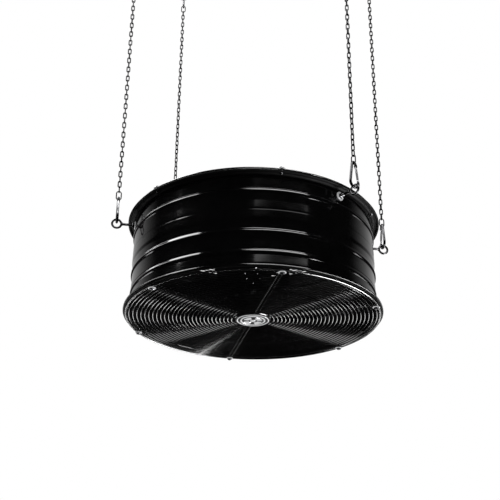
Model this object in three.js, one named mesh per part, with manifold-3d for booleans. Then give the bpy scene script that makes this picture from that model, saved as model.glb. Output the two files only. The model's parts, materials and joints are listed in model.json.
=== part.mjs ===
// Short drum fan hung level from the ceiling by four chains, blowing straight down.
// Millimetres, +Z up. The origin is the middle of the four ceiling hooks, in the
// ceiling plane; everything hangs below it.
import * as THREE from 'three';
import { mergeVertices } from 'three/addons/utils/BufferGeometryUtils.js';
import Module from 'manifold-3d';

const wasm = await Module();
wasm.setup();

// ---------- driving dimensions ----------
const DROP = 1350;             // ceiling plane to the underside of the lower flange
const FLANGE_R = 350;          // both flanges
const DRUM_H = 262.5;          // over both flanges
const WALL_R = 331;            // outside of the wall between the beads
const WALL_T = 1.4;            // sheet
const BEADS = [45, 100, 156, 211];
const BEAD_OUT = 3;
const BEAD_HALF = 7;

const SCREW_DEG = [0, 1, 2, 3, 4, 5].map(k => -18.4 + 60 * k);
const SCREW_R = 336.2;
const EYE_DEG = [-168.4, -48.4, 11.6, 131.6];
const EYE_R = 382;             // centre of the eye rings
const EYE_H = 240;             // height of the eye bolts above the lower flange
const EYE_RING = 12.5;         // ring centreline radius
const EYE_WIRE = 3;

const GUARD_OUTER = 341;
const GUARD_WIRE = 1.75;       // inner rings, corner radius of a three-sided section
const GUARD_RINGS = 27;        // inner rings
const GUARD_FIRST = 331.7;
const GUARD_PITCH = 10.55;
const GUARD_RING_Z = 6.4;      // ring plane beyond the flange face
const GUARD_HUB_R = 50;

const CARABINER_WIRE = 3.5;
const CARABINER_BIG = 14.5;    // centreline radius of the wide lower end
const CARABINER_SMALL = 6.5;   // centreline radius of the narrow upper end
const CARABINER_SPAN = 73;     // between the wire centres of the two ends

const CHAIN_END_R = 6.6;       // end link of the chain, centreline radius
const CHAIN_END_WIRE = 1.6;
const CHAIN_END_SPAN = 26;
const CHAIN_BAR_R = 3.2;

const LINK_R = 8;              // oval link between chain and ceiling hook
const LINK_WIRE = 2.5;
const LINK_SPAN = 40;

const HOOK_R = 12;             // ceiling hook, centreline radius of the bend
const HOOK_WIRE = 3.5;
const HOOK_Z = -28;            // centre of the bend
const PLATE = 60;              // ceiling plate, square
const PLATE_T = 4;

const SHAFT_R = 8.5;
const MOTOR_R = 75;
const MOTOR_LOW = 150;         // lower rim of the motor shell, above the lower flange
const MOTOR_HIGH = 232;
const BLADE_H = 96;            // blade mid height
const BLADE_TIP = 305;
const BLADE_PITCH = 24;        // degrees
const BAR_X = 92;              // the two motor bars run across at x = +-BAR_X
const BAR_H = 190;

const GAP = 0.3;
const rad = d => d * Math.PI / 180;
const ROUND8 = Math.PI / 8;

// ---------- solids ----------
function solid(geometry) {
  const g = geometry.clone();
  g.deleteAttribute('normal');
  g.deleteAttribute('uv');
  let m = mergeVertices(g, 1e-4);
  if (!m.index) m = mergeVertices(m);
  const idx = Array.from(m.index.array);
  const keep = [];
  for (let i = 0; i < idx.length; i += 3) {
    const [a, b, c] = [idx[i], idx[i + 1], idx[i + 2]];
    if (a !== b && b !== c && c !== a) keep.push(a, b, c);
  }
  return new wasm.Manifold(new wasm.Mesh({
    numProp: 3,
    vertProperties: new Float32Array(m.attributes.position.array),
    triVerts: new Uint32Array(keep),
  }));
}
function geometryOf(manifold) {
  const mesh = manifold.getMesh();
  const pos = new Float32Array(mesh.numVert * 3);
  for (let i = 0; i < mesh.numVert; i++) {
    for (let j = 0; j < 3; j++) pos[3 * i + j] = mesh.vertProperties[mesh.numProp * i + j];
  }
  const g = new THREE.BufferGeometry();
  g.setAttribute('position', new THREE.BufferAttribute(pos, 3));
  g.setIndex(new THREE.BufferAttribute(new Uint32Array(mesh.triVerts), 1));
  g.computeVertexNormals();
  return g;
}
const join = list => list.map(solid).reduce((a, b) => a.add(b));
const cut = (body, tools) => tools.map(solid).reduce((a, b) => a.subtract(b), body);

// turned shape about +Z from [radius, height] points, counter-clockwise in the half plane;
// it closes on itself, or starts and ends on the axis
function turned(points, segments, closed = true) {
  let area = 0;
  points.forEach((p, i) => { const q = points[(i + 1) % points.length]; area += p[0] * q[1] - q[0] * p[1]; });
  const order = area > 0 ? points : points.slice().reverse();
  const pts = order.map(p => new THREE.Vector2(p[0], p[1]));
  if (closed) pts.push(pts[0].clone());
  const g = new THREE.LatheGeometry(pts, segments);
  g.rotateX(Math.PI / 2);
  return g;
}
function cyl(r, z0, z1, sides, turn = 0) {
  const g = new THREE.CylinderGeometry(r, r, z1 - z0, sides);
  g.rotateX(Math.PI / 2);
  g.rotateZ(turn);
  g.translate(0, 0, (z0 + z1) / 2);
  return g;
}
function box(x0, x1, y0, y1, z0, z1) {
  const g = new THREE.BoxGeometry(x1 - x0, y1 - y0, z1 - z0);
  g.translate((x0 + x1) / 2, (y0 + y1) / 2, (z0 + z1) / 2);
  return g;
}
// rings in the XY plane: square wire, and a light three-sided one whose edge points to z + up
function wireRing(R, r, z, segments) {
  return turned([[R - r, z - r], [R + r, z - r], [R + r, z + r], [R - r, z + r]], segments);
}
function lightRing(R, r, z, up, segments) {
  return turned([[R, z + up * r], [R - 0.866 * r, z - up * r / 2], [R + 0.866 * r, z - up * r / 2]], segments);
}
const section = (r, sides) => {
  const s = new THREE.Shape();
  for (let i = 0; i < sides; i++) {
    const a = 2 * Math.PI * (i + 0.5) / sides;
    if (i) s.lineTo(r * Math.cos(a), r * Math.sin(a)); else s.moveTo(r * Math.cos(a), r * Math.sin(a));
  }
  return s;
};
// a path of the XZ plane that turns exactly at its points
class Planar extends THREE.Curve {
  constructor(points) { super(); this.p = points; this.n = points.length - 1; }
  getUtoTmapping(u) { return u; }
  getPoint(t, target = new THREE.Vector3()) {
    const f = Math.min(Math.max(t, 0), 1) * this.n, i = Math.min(Math.floor(f), this.n - 1), k = f - i;
    const [a, b] = [this.p[i], this.p[i + 1]];
    return target.set(a[0] + (b[0] - a[0]) * k, 0, a[1] + (b[1] - a[1]) * k);
  }
  getTangent(t, target = new THREE.Vector3()) {
    const closed = Math.hypot(this.p[0][0] - this.p[this.n][0], this.p[0][1] - this.p[this.n][1]) < 1e-6;
    const k = Math.round(Math.min(Math.max(t, 0), 1) * this.n);
    const dir = i => {
      const j = closed ? (i + this.n) % this.n : Math.min(Math.max(i, 0), this.n - 1);
      const v = [this.p[j + 1][0] - this.p[j][0], this.p[j + 1][1] - this.p[j][1]], l = Math.hypot(...v);
      return [v[0] / l, v[1] / l];
    };
    const [a, b] = [dir(k - 1), dir(k)];
    return target.set(a[0] + b[0], 0, a[1] + b[1]).normalize();
  }
}
const arc = (cx, cz, r, a0, a1, n) => {
  const out = [];
  for (let i = 0; i <= n; i++) {
    const a = rad(a0 + (a1 - a0) * i / n);
    out.push([cx + r * Math.cos(a), cz + r * Math.sin(a)]);
  }
  return out;
};
// oval loop in the XZ plane: two half circles of radius r, their tops span apart
function oval(r, span, wire, zTop, sides) {
  const z1 = zTop - r, z0 = zTop - span + r;
  const pts = [...arc(0, z1, r, 90, 180, 3), ...arc(0, z0, r, 180, 360, 6), ...arc(0, z1, r, 0, 90, 3)];
  return new THREE.TubeGeometry(new Planar(pts), pts.length - 1, wire, sides, true);
}
function rod(pts, r, sides) {
  return new THREE.ExtrudeGeometry(section(r, sides), { extrudePath: new Planar(pts), steps: pts.length - 1, bevelEnabled: false });
}

// ---------- finishes ----------
const paint = { color: 0x060607, roughness: 0.22, metalness: 0.0 };
const zinc = { color: 0xc9cccf, roughness: 0.3, metalness: 1.0 };
const steel = { color: 0x9a9da0, roughness: 0.35, metalness: 1.0 };
const bladeGrey = { color: 0x2a2b2d, roughness: 0.4, metalness: 0.6 };
const motorBlack = { color: 0x0b0b0c, roughness: 0.5, metalness: 0.1 };
const plastic = { color: 0x101010, roughness: 0.55, metalness: 0.0 };
const copperSteel = { color: 0x6d5a4a, roughness: 0.5, metalness: 0.8 };

const fan = new THREE.Group();
const drum = new THREE.Group();
drum.position.set(0, 0, -DROP);
fan.add(drum);

function put(parent, name, geometry, finish) {
  const mesh = new THREE.Mesh(geometry, new THREE.MeshStandardMaterial(finish));
  mesh.name = name;
  parent.add(mesh);
  return mesh;
}
function turnedGroup(parent, degrees) {
  const g = new THREE.Group();
  g.rotation.z = rad(degrees);
  parent.add(g);
  return g;
}

// ---------- drum shell ----------
{
  const wi = WALL_R - WALL_T, f = FLANGE_R, h = DRUM_H, t = WALL_T;
  const out = [[wi, 0], [f, 0], [f, 6], [f - t, 6], [f - t, t], [WALL_R + 3, t], [WALL_R, 6]];
  for (const b of BEADS) out.push([WALL_R, b - BEAD_HALF], [WALL_R + BEAD_OUT, b], [WALL_R, b + BEAD_HALF]);
  out.push([WALL_R, h - 6], [WALL_R + 3, h - t], [f - t, h - t], [f - t, h - 6], [f, h - 6], [f, h], [wi, h]);
  let shell = solid(turned(out, 48));
  const tools = [];
  for (const d of EYE_DEG) {            // weld nuts inside the wall for the eye bolts
    const nut = new THREE.CylinderGeometry(7.5, 7.5, 7, 6);
    nut.rotateZ(Math.PI / 2);
    nut.translate(wi - 2.9, 0, EYE_H);
    nut.rotateZ(rad(d));
    shell = shell.add(solid(nut));
    const hole = new THREE.CylinderGeometry(4.3, 4.3, 30, 8);
    hole.rotateZ(Math.PI / 2);
    hole.translate(WALL_R - 5, 0, EYE_H);
    hole.rotateZ(rad(d));
    tools.push(hole);
  }
  for (const d of SCREW_DEG) {
    for (const z of [0, h]) {
      const hole = cyl(2.9, z - 5, z + 5, 6);
      hole.translate(SCREW_R, 0, 0);
      hole.rotateZ(rad(d));
      tools.push(hole);
    }
  }
  put(drum, 'drum_shell', geometryOf(cut(shell, tools)), paint);
}

// ---------- guards: wire rings on six radial stays, held by screws on the flanges ----------
function guard(name, face, dir, hubR) {
  const at = z => face + dir * z;
  const span = (a, b) => [Math.min(at(a), at(b)), Math.max(at(a), at(b))];
  let g = null;
  const add = s => { g = g ? g.add(s) : s; };
  add(solid(wireRing(GUARD_OUTER, 2, at(GUARD_RING_Z), 36)));
  for (let i = 0; i < GUARD_RINGS; i++) {
    const R = GUARD_FIRST - i * GUARD_PITCH;
    add(solid(lightRing(R, GUARD_WIRE, at(GUARD_RING_Z), -dir, R > 250 ? 24 : R > 150 ? 18 : 12)));
  }
  const [s0, s1] = span(0.4, 5.2);
  for (const d of SCREW_DEG) {
    const stay = box(GUARD_HUB_R - 8, FLANGE_R - 5, -7, 7, s0, s1);
    stay.rotateZ(rad(d));
    add(solid(stay));
  }
  const [p0, p1] = span(4.6, 7.6);
  add(solid(cyl(hubR, p0, p1, 24)));
  const holes = SCREW_DEG.map(d => {
    const hole = cyl(2.8, face - 12, face + 12, 6);
    hole.translate(SCREW_R, 0, 0);
    hole.rotateZ(rad(d));
    return hole;
  });
  put(drum, name, geometryOf(cut(g, holes)), paint);
}
guard('lower_guard', 0, -1, GUARD_HUB_R);
guard('upper_guard', DRUM_H, 1, GUARD_HUB_R);

// round centre badge, blank apart from a plain raised rim
put(drum, 'centre_badge', turned([[0, -10.9], [30, -10.4], [33, -11.4], [45, -10.4], [46, -7.9], [0, -7.9]], 24, false), zinc);

// washer-head screws that clamp the guards
function guardScrew(name, degrees, face, dir) {
  const g = turnedGroup(drum, degrees);
  const z = v => face + dir * v;
  const pts = [[0, z(14)], [4.6, z(13)], [5, z(10.4)], [11, z(10.2)], [11, z(8.8)], [2.4, z(8.8)], [2.4, z(-7)], [0, z(-7)]];
  const geo = turned(pts, 8, false);
  geo.translate(SCREW_R, 0, 0);
  put(g, name, geo, zinc);
}
SCREW_DEG.forEach((d, i) => guardScrew(`lower_guard_screw_${i + 1}`, d, 0, -1));
SCREW_DEG.forEach((d, i) => guardScrew(`upper_guard_screw_${i + 1}`, d, DRUM_H, 1));

// ---------- eye bolts and their nuts ----------
EYE_DEG.forEach((d, i) => {
  const g = turnedGroup(drum, d);
  const ring = new THREE.TorusGeometry(EYE_RING, EYE_WIRE, 6, 14);
  ring.rotateX(Math.PI / 2);
  const shank = new THREE.CylinderGeometry(4, 4, 49, 8);
  shank.rotateZ(Math.PI / 2);
  shank.translate(-EYE_RING - 24.5, 0, 0);
  const eye = geometryOf(join([ring, shank]));
  eye.translate(EYE_R, 0, EYE_H);
  put(g, `eye_bolt_${i + 1}`, eye, zinc);
  const profile = [[4.3, 0], [12, 0], [12, 1.6], [8.6, 2.2], [7, 8.5], [4.3, 8.5]];
  const nut = turned(profile, 12);
  nut.rotateY(Math.PI / 2);
  nut.translate(WALL_R + GAP, 0, EYE_H);
  put(g, `eye_bolt_nut_${i + 1}`, nut, zinc);
});

// ---------- snap hooks: pear-shaped bent rod with a sprung gate ----------
const CAR_LOW = EYE_H + EYE_RING - EYE_WIRE - CARABINER_WIRE - GAP;   // wire centre of the wide end
const CAR_TOP = CAR_LOW + CARABINER_SPAN;
function pear() {
  // in the XZ plane, x along the wide side, gate on +x
  const [R, r] = [CARABINER_BIG, CARABINER_SMALL];
  const c0 = CAR_LOW + R, c1 = CAR_TOP - r, L = c1 - c0;
  const lean = Math.asin((R - r) / L) * 180 / Math.PI;   // the straight sides lean in by this angle
  return { R, r, c0, c1, lean };
}
const P = pear();
const side = (R, c, s) => [s * R * Math.cos(rad(P.lean)), c + R * Math.sin(rad(P.lean))];
const gateLow = side(P.R, P.c0, 1), gateHigh = side(P.r, P.c1, 1);
const along = k => [gateLow[0] + (gateHigh[0] - gateLow[0]) * k, gateLow[1] + (gateHigh[1] - gateLow[1]) * k];
const NOSE = along(0.06), PIVOT = along(0.88);
EYE_DEG.forEach((d, i) => {
  const g = turnedGroup(drum, d);
  const inner = new THREE.Group();
  inner.position.set(EYE_R, 0, 0);
  inner.rotation.z = Math.PI / 2;          // the snap hook stands across the radius
  g.add(inner);
  const up = (GAP + 0.15 + 3.4) / Math.hypot(gateHigh[0] - gateLow[0], gateHigh[1] - gateLow[1]);
  const pts = [along(0.88 + up), gateHigh,
    ...arc(0, P.c1, P.r, P.lean, 90, 3).slice(1), ...arc(0, P.c1, P.r, 90, 180 - P.lean, 3).slice(1),
    ...arc(0, P.c0, P.R, 180 - P.lean, 270, 4), ...arc(0, P.c0, P.R, 270, 360 + P.lean, 4).slice(1), NOSE];
  put(inner, `snap_hook_${i + 1}`, rod(pts, CARABINER_WIRE, 6), zinc);
  const L = Math.hypot(PIVOT[0] - NOSE[0], PIVOT[1] - NOSE[1]) - GAP - 0.2;
  const q = 3.3;
  const gate = turned([[0, -L], [q, -L], [q, 0], [q * 0.75, q * 0.66], [0, q]], 8, false);
  gate.rotateY(Math.atan2(PIVOT[0] - NOSE[0], PIVOT[1] - NOSE[1]));
  gate.translate(PIVOT[0], 0, PIVOT[1]);
  put(inner, `snap_hook_gate_${i + 1}`, gate, steel);
});

// ---------- chains, oval links, ceiling hooks ----------
const HOOK_LOW = HOOK_Z - HOOK_R;
const LINK_TOP = HOOK_LOW + HOOK_WIRE + LINK_WIRE + GAP;
const LINK_LOW = LINK_TOP - LINK_SPAN;
const CHAIN_TOP = LINK_LOW + LINK_WIRE + CHAIN_END_WIRE + GAP;
const CHAIN_LOW = -DROP + CAR_TOP - CARABINER_WIRE - CHAIN_END_WIRE - GAP;
EYE_DEG.forEach((d, i) => {
  const g = new THREE.Group();
  g.position.set(EYE_R * Math.cos(rad(d)), EYE_R * Math.sin(rad(d)), 0);
  fan.add(g);
  // chain: an end link at each end, a plain bar for the run between them
  const top = oval(CHAIN_END_R, CHAIN_END_SPAN, CHAIN_END_WIRE, CHAIN_TOP, 4);
  const low = oval(CHAIN_END_R, CHAIN_END_SPAN, CHAIN_END_WIRE, CHAIN_LOW + CHAIN_END_SPAN, 4);
  low.rotateZ(rad(d));                     // across the snap hook
  const bar = cyl(CHAIN_BAR_R, CHAIN_LOW + CHAIN_END_SPAN - 1, CHAIN_TOP - CHAIN_END_SPAN + 1, 8, ROUND8);
  put(g, `chain_${i + 1}`, geometryOf(join([top, low, bar])), zinc);
  // oval link between the chain and the ceiling hook
  const link = oval(LINK_R, LINK_SPAN, LINK_WIRE, LINK_TOP, 6);
  link.rotateZ(Math.PI / 2);
  put(g, `ceiling_link_${i + 1}`, link, zinc);
  // ceiling plate with an open hook, two screw holes
  const hook = rod([[0, -2], ...arc(0, HOOK_Z, HOOK_R, 90, 390, 10)], HOOK_WIRE, 6);
  let plate = solid(box(-PLATE / 2, PLATE / 2, -PLATE / 2, PLATE / 2, -PLATE_T, 0)).add(solid(hook));
  plate = cut(plate, [-21, 21].map(y => { const c = cyl(3, -10, 5, 8); c.translate(0, y, 0); return c; }));
  put(g, `ceiling_hook_${i + 1}`, geometryOf(plate), zinc);
});

// ---------- motor ----------
{
  const h0 = MOTOR_LOW, h1 = MOTOR_HIGH;
  put(drum, 'motor_shell', turned([[MOTOR_R - 3, h0], [MOTOR_R, h0], [MOTOR_R, h1], [MOTOR_R - 3, h1]], 18), motorBlack);
  // end bells, each with a pocket for its bearing
  const low = turned([[9.5, h0 - 12], [26, h0 - 12], [MOTOR_R - 8, h0 - 4], [MOTOR_R, h0 - 3], [MOTOR_R, h0 - GAP],
    [MOTOR_R - 3.4, h0 - GAP], [MOTOR_R - 3.4, h0 + 6], [MOTOR_R - 7, h0 + 6], [MOTOR_R - 10, h0 + 1], [26, h0 - 5],
    [25, h0 + 4], [20.4, h0 + 4], [20.4, h0 - 9], [9.5, h0 - 9]], 18);
  put(drum, 'motor_lower_bell', low, motorBlack);
  const high = turned([[0, h1 + 10], [20.4, h1 + 10], [20.4, h1 - 4], [25, h1 - 4], [26, h1 + 5],
    [MOTOR_R - 10, h1 - 1], [MOTOR_R - 7, h1 - 6], [MOTOR_R - 3.4, h1 - 6], [MOTOR_R - 3.4, h1 + GAP], [MOTOR_R, h1 + GAP],
    [MOTOR_R, h1 + 3], [MOTOR_R - 8, h1 + 5], [26, h1 + 13], [0, h1 + 13]], 18, false);
  put(drum, 'motor_upper_bell', high, motorBlack);
  put(drum, 'stator', turned([[42, h0 + 16], [MOTOR_R - 3.6, h0 + 16], [MOTOR_R - 3.6, h1 - 16], [42, h1 - 16]], 18), copperSteel);
  put(drum, 'lower_bearing', turned([[SHAFT_R + GAP, h0 - 8.6], [20, h0 - 8.6], [20, h0 + 3.4], [SHAFT_R + GAP, h0 + 3.4]], 18), steel);
  put(drum, 'upper_bearing', turned([[SHAFT_R + GAP, h1 - 2.4], [20, h1 - 2.4], [20, h1 + 9.6], [SHAFT_R + GAP, h1 + 9.6]], 18), steel);
  put(drum, 'motor_shaft', cyl(SHAFT_R, 72, h1 + 9.4, 12), steel);
  put(drum, 'rotor_core', turned([[SHAFT_R + GAP, h0 + 14], [41.2, h0 + 14], [41.2, h1 - 14], [SHAFT_R + GAP, h1 - 14]], 18), steel);
}
// two bars across the drum carry the motor by a lug on each side of its shell
for (const s of [-1, 1]) {
  const y = Math.sqrt((WALL_R - WALL_T - 0.6) ** 2 - (BAR_X + 14) ** 2) - 0.5;
  const web = box(s * BAR_X - 14, s * BAR_X + 14, -y, y, BAR_H, BAR_H + 3);
  const rib = box(s * BAR_X + s * 11 - 1.5, s * BAR_X + s * 11 + 1.5, -y, y, BAR_H + 1, BAR_H + 22);
  const tabs = [-1, 1].map(e => box(s * BAR_X - 14, s * BAR_X + 14, e * y - (e > 0 ? 3 : 0), e * y + (e > 0 ? 0 : 3), BAR_H - 14, BAR_H + 1));
  const pad = box(Math.min(s * (MOTOR_R + GAP), s * (BAR_X - 10)), Math.max(s * (MOTOR_R + GAP), s * (BAR_X - 10)), -30, 30, BAR_H, BAR_H + 3);
  const grip = cyl(MOTOR_R + GAP + 0.6, BAR_H - 30, BAR_H + 40, 18);
  let bar = join([web, rib, ...tabs, pad]).subtract(solid(grip));
  put(drum, s < 0 ? 'motor_bar_left' : 'motor_bar_right', geometryOf(bar), paint);
}
// terminal box on the motor, with the gland for the supply cord
put(drum, 'terminal_box', box(-32, 32, MOTOR_R + 1, MOTOR_R + 37, MOTOR_LOW + 14, MOTOR_LOW + 66), plastic);
{
  const g = turned([[0, 0.4], [9, 0.4], [9, 3], [7, 3.4], [7, 9], [5.4, 14], [3.6, 14.6], [3.6, 6], [0, 6]], 10, false);
  g.rotateX(-Math.PI / 2);
  g.translate(0, MOTOR_R + 37, MOTOR_LOW + 44);
  put(drum, 'cable_gland', g, plastic);
}

// ---------- propeller: hub with three arms, three blades ----------
{
  const hub = [turned([[SHAFT_R + GAP, 78], [19, 78], [19, 118], [SHAFT_R + GAP, 118]], 16)];
  const arms = [0, 120, 240].map(a => {
    const arm = box(14, 118, -26, 26, 0.3, 3.3);
    arm.rotateX(rad(BLADE_PITCH));
    arm.translate(0, 0, BLADE_H);
    arm.rotateZ(rad(a + 25));
    return arm;
  });
  let body = join([...hub, ...arms]).subtract(solid(cyl(SHAFT_R + GAP, 60, 140, 16)));
  put(drum, 'fan_hub', geometryOf(body), bladeGrey);
  // blade: a sheet with a little camber, wider at the tip, swept corners rounded
  const N = 7, M = 5, T = 2.4;
  const blade = () => {
    const top = [], low = [];
    for (let i = 0; i <= N; i++) {
      const u = i / N, r = 46 + (BLADE_TIP - 46) * u;
      const lead = -(58 + 34 * Math.sin(u * 1.9)), trail = 48 + 40 * u;
      for (let j = 0; j <= M; j++) {
        const v = j / M;
        const c0 = lead + (trail - lead) * v;
        const pitch = rad(BLADE_PITCH + 3 - 6 * u);
        const camber = -10 * (1 - Math.pow(2 * v - 1, 2)) * Math.min(1, Math.max(0, (u - 0.3) / 0.3));
        const rr = Math.min(r, Math.sqrt(Math.max(BLADE_TIP ** 2 - (c0 * Math.cos(pitch)) ** 2, 1)));
        const x = rr, y = c0 * Math.cos(pitch) - camber * Math.sin(pitch), z = c0 * Math.sin(pitch) + camber * Math.cos(pitch);
        top.push(x, y, z - 0.2); low.push(x, y, z - 0.2 - T);
      }
    }
    const n = (N + 1) * (M + 1), idx = [], at = (i, j) => i * (M + 1) + j;
    for (let i = 0; i < N; i++) for (let j = 0; j < M; j++) {
      const [a, b, c, d] = [at(i, j), at(i + 1, j), at(i + 1, j + 1), at(i, j + 1)];
      idx.push(a, b, c, a, c, d, n + a, n + c, n + b, n + a, n + d, n + c);
    }
    const edge = (a, b) => idx.push(a, n + a, n + b, a, n + b, b);
    for (let i = 0; i < N; i++) { edge(at(i, 0), at(i + 1, 0)); edge(at(i + 1, M), at(i, M)); }
    for (let j = 0; j < M; j++) { edge(at(N, j), at(N, j + 1)); edge(at(0, j + 1), at(0, j)); }
    const g = new THREE.BufferGeometry();
    g.setAttribute('position', new THREE.BufferAttribute(new Float32Array([...top, ...low]), 3));
    g.setIndex(idx);
    g.computeVertexNormals();
    return g;
  };
  [0, 120, 240].forEach((a, k) => {
    const g = blade();
    g.translate(0, 0, BLADE_H - 1.4);
    g.rotateZ(rad(a + 25));
    put(drum, `fan_blade_${k + 1}`, g, bladeGrey);
  });
}

export default fan;
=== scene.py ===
"""Looks of the chain-hung drum fan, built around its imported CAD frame. Metres, +Z up."""

import json
import math

import bmesh
import bpy
from mathutils import Matrix, Quaternion, Vector, noise

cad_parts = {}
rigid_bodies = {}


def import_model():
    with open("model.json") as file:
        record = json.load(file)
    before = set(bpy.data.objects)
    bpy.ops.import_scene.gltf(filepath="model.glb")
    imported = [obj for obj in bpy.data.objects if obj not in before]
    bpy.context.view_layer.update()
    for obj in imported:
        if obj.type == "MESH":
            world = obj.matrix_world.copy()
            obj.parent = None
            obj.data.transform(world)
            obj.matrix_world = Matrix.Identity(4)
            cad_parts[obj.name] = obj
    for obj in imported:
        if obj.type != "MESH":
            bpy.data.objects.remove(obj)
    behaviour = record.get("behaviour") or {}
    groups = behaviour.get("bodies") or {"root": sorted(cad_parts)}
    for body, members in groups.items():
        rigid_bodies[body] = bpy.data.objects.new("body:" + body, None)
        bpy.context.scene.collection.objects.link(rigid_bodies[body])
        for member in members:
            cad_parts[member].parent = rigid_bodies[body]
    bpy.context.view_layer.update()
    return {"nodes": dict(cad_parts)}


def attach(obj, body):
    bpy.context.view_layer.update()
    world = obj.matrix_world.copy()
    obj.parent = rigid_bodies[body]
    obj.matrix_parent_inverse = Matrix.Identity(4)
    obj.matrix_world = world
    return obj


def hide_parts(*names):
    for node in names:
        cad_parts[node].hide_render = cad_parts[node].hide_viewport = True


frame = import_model()
nodes = frame["nodes"]
scene = bpy.context.scene
scene.view_settings.view_transform = "Standard"
scene.view_settings.look = "None"
collection = scene.collection

# ---------------------------------------------------------------- places, millimetres as in the CAD
DROP = 1350.0                 # ceiling plane to the underside of the lower flange
FLANGE_R, DRUM_H, WALL_R, SHEET = 350.0, 262.5, 331.0, 1.4
SCREW_DEG = [-18.4 + 60 * k for k in range(6)]
SCREW_R = 336.2
EYE_DEG = [-168.4, -48.4, 11.6, 131.6]
EYE_R, EYE_H, EYE_RING, EYE_WIRE = 382.0, 240.0, 12.5, 3.0
HOOK_WIRE, HOOK_BIG, HOOK_SMALL, HOOK_SPAN = 3.5, 14.5, 6.5, 73.0
GAP = 0.3
HOOK_LOW = EYE_H + EYE_RING - EYE_WIRE - HOOK_WIRE - GAP
HOOK_TOP = HOOK_LOW + HOOK_SPAN
CEIL_R, CEIL_WIRE, CEIL_Z = 12.0, 3.5, -28.0
LINK_R, LINK_WIRE, LINK_SPAN = 8.0, 2.5, 40.0
LINK_TOP = CEIL_Z - CEIL_R + CEIL_WIRE + LINK_WIRE + GAP
LINK_LOW = LINK_TOP - LINK_SPAN
END_R, END_WIRE, END_SPAN = 6.6, 1.6, 26.0
CHAIN_TOP = LINK_LOW + LINK_WIRE + END_WIRE + GAP
CHAIN_LOW = -DROP + HOOK_TOP - HOOK_WIRE - END_WIRE - GAP
MOTOR_R, MOTOR_LOW, MOTOR_HIGH, SHAFT_R = 75.0, 150.0, 232.0, 8.5
BLADE_H, BLADE_TIP, BLADE_PITCH = 96.0, 305.0, 24.0
BAR_X, BAR_H = 92.0, 190.0


def rad(d):
    return d * math.pi / 180


# ---------------------------------------------------------------- camera, at the photograph's angle
def make_camera():
    e, roll = rad(24.6539), rad(0.5314)
    fw = Vector((0, math.cos(e), math.sin(e)))
    r0, u0 = Vector((1, 0, 0)), Vector((0, -math.sin(e), math.cos(e)))
    right = r0 * math.cos(roll) + u0 * math.sin(roll)
    up = -r0 * math.sin(roll) + u0 * math.cos(roll)
    data = bpy.data.cameras.new("camera")
    data.sensor_width, data.lens = 36.0, 66.947
    data.clip_start, data.clip_end = 0.05, 200
    cam = bpy.data.objects.new("camera", data)
    collection.objects.link(cam)
    m = Matrix((right, up, -fw)).transposed().to_4x4()
    m.translation = Vector((-0.009485, -2.355910, -2.231522))
    cam.matrix_world = m
    scene.camera = cam


make_camera()


# ---------------------------------------------------------------- materials
class Mat:
    """A node material under construction."""

    def __init__(self, name, scale=(1, 1, 1)):
        self.m = bpy.data.materials.new(name)
        self.m.use_nodes = True
        self.t = self.m.node_tree
        self.t.nodes.clear()
        self.out = self.t.nodes.new("ShaderNodeOutputMaterial")
        self.b = self.t.nodes.new("ShaderNodeBsdfPrincipled")
        self.t.links.new(self.b.outputs[0], self.out.inputs[0])
        tc = self.t.nodes.new("ShaderNodeTexCoord")
        mp = self.t.nodes.new("ShaderNodeMapping")
        mp.inputs["Scale"].default_value = scale
        self.t.links.new(tc.outputs["Object"], mp.inputs["Vector"])
        self.vec = mp.outputs[0]

    def set(self, **kw):
        for k, v in kw.items():
            self.b.inputs[k.replace("_", " ")].default_value = v
        return self

    def noise(self, scale, detail=3.0, rough=0.5, distortion=0.0):
        n = self.t.nodes.new("ShaderNodeTexNoise")
        n.inputs["Scale"].default_value = scale
        n.inputs["Detail"].default_value = detail
        n.inputs["Roughness"].default_value = rough
        n.inputs["Distortion"].default_value = distortion
        self.t.links.new(self.vec, n.inputs["Vector"])
        return n.outputs[0]

    def voronoi(self, scale):
        n = self.t.nodes.new("ShaderNodeTexVoronoi")
        n.inputs["Scale"].default_value = scale
        self.t.links.new(self.vec, n.inputs["Vector"])
        return n.outputs["Color"]

    def ramp(self, fac, stops):
        r = self.t.nodes.new("ShaderNodeValToRGB")
        el = r.color_ramp.elements
        while len(el) < len(stops):
            el.new(0.5)
        for e, (p, c) in zip(el, stops):
            e.position = p
            e.color = (*c, 1) if len(c) == 3 else c
        self.t.links.new(fac, r.inputs[0])
        return r.outputs[0]

    def span(self, fac, lo, hi, a=0.3, b=0.7):
        n = self.t.nodes.new("ShaderNodeMapRange")
        for key, v in (("From Min", a), ("From Max", b), ("To Min", lo), ("To Max", hi)):
            n.inputs[key].default_value = v
        self.t.links.new(fac, n.inputs[0])
        return n.outputs[0]

    def link(self, out, name):
        self.t.links.new(out, self.b.inputs[name])
        return self

    def bump(self, height, strength, distance):
        n = self.t.nodes.new("ShaderNodeBump")
        n.inputs["Strength"].default_value = strength
        n.inputs["Distance"].default_value = distance
        self.t.links.new(height, n.inputs["Height"])
        self.t.links.new(n.outputs[0], self.b.inputs["Normal"])
        return self

    def mix(self, fac, a, b):
        n = self.t.nodes.new("ShaderNodeMix")
        n.data_type = "RGBA"
        self.t.links.new(fac, n.inputs[0])
        for v, i in ((a, 6), (b, 7)):
            if isinstance(v, tuple):
                n.inputs[i].default_value = (*v, 1)
            else:
                self.t.links.new(v, n.inputs[i])
        return n.outputs[2]


def gloss_paint(name, lo, hi, r0, r1, coat=0.0, peel=0.02):
    m = Mat(name)
    m.link(m.ramp(m.noise(9, 4), [(0.35, lo), (0.65, hi)]), "Base Color")
    m.link(m.span(m.noise(38, 5, 0.6), r0, r1), "Roughness")
    m.bump(m.noise(620, 2), peel, 0.0004)
    m.set(IOR=1.5, Coat_Weight=coat, Coat_Roughness=0.04)
    return m.m


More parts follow.
